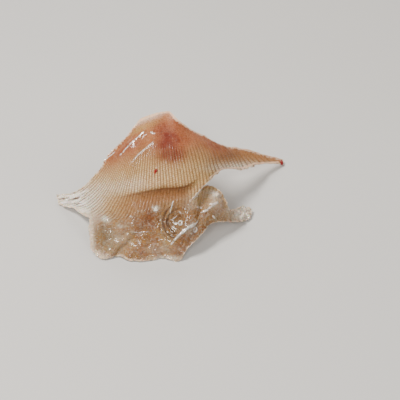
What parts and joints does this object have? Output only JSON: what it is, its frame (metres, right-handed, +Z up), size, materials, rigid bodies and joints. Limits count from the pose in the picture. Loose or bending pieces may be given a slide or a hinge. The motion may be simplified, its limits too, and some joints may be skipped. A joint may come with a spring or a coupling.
{
  "type": "dried stingray fin",
  "caption": "Curled ribbed sheet of dried stingray fin with a front lobe under a slit, standing on its tips and front edge.",
  "frame": {"origin": "middle of the bounding box's underside, on the surface the fin stands on", "axes": "+Z up, +X from the left tip towards the right tip, the front lobe faces -Y"},
  "size_m": [0.1386, 0.0974, 0.0577],
  "materials": {
    "dried_flesh": "glazed translucent dried fish"
  },
  "bodies": {
    "root": {"dried_fin": "dried_flesh"}
  },
  "joints": []
}
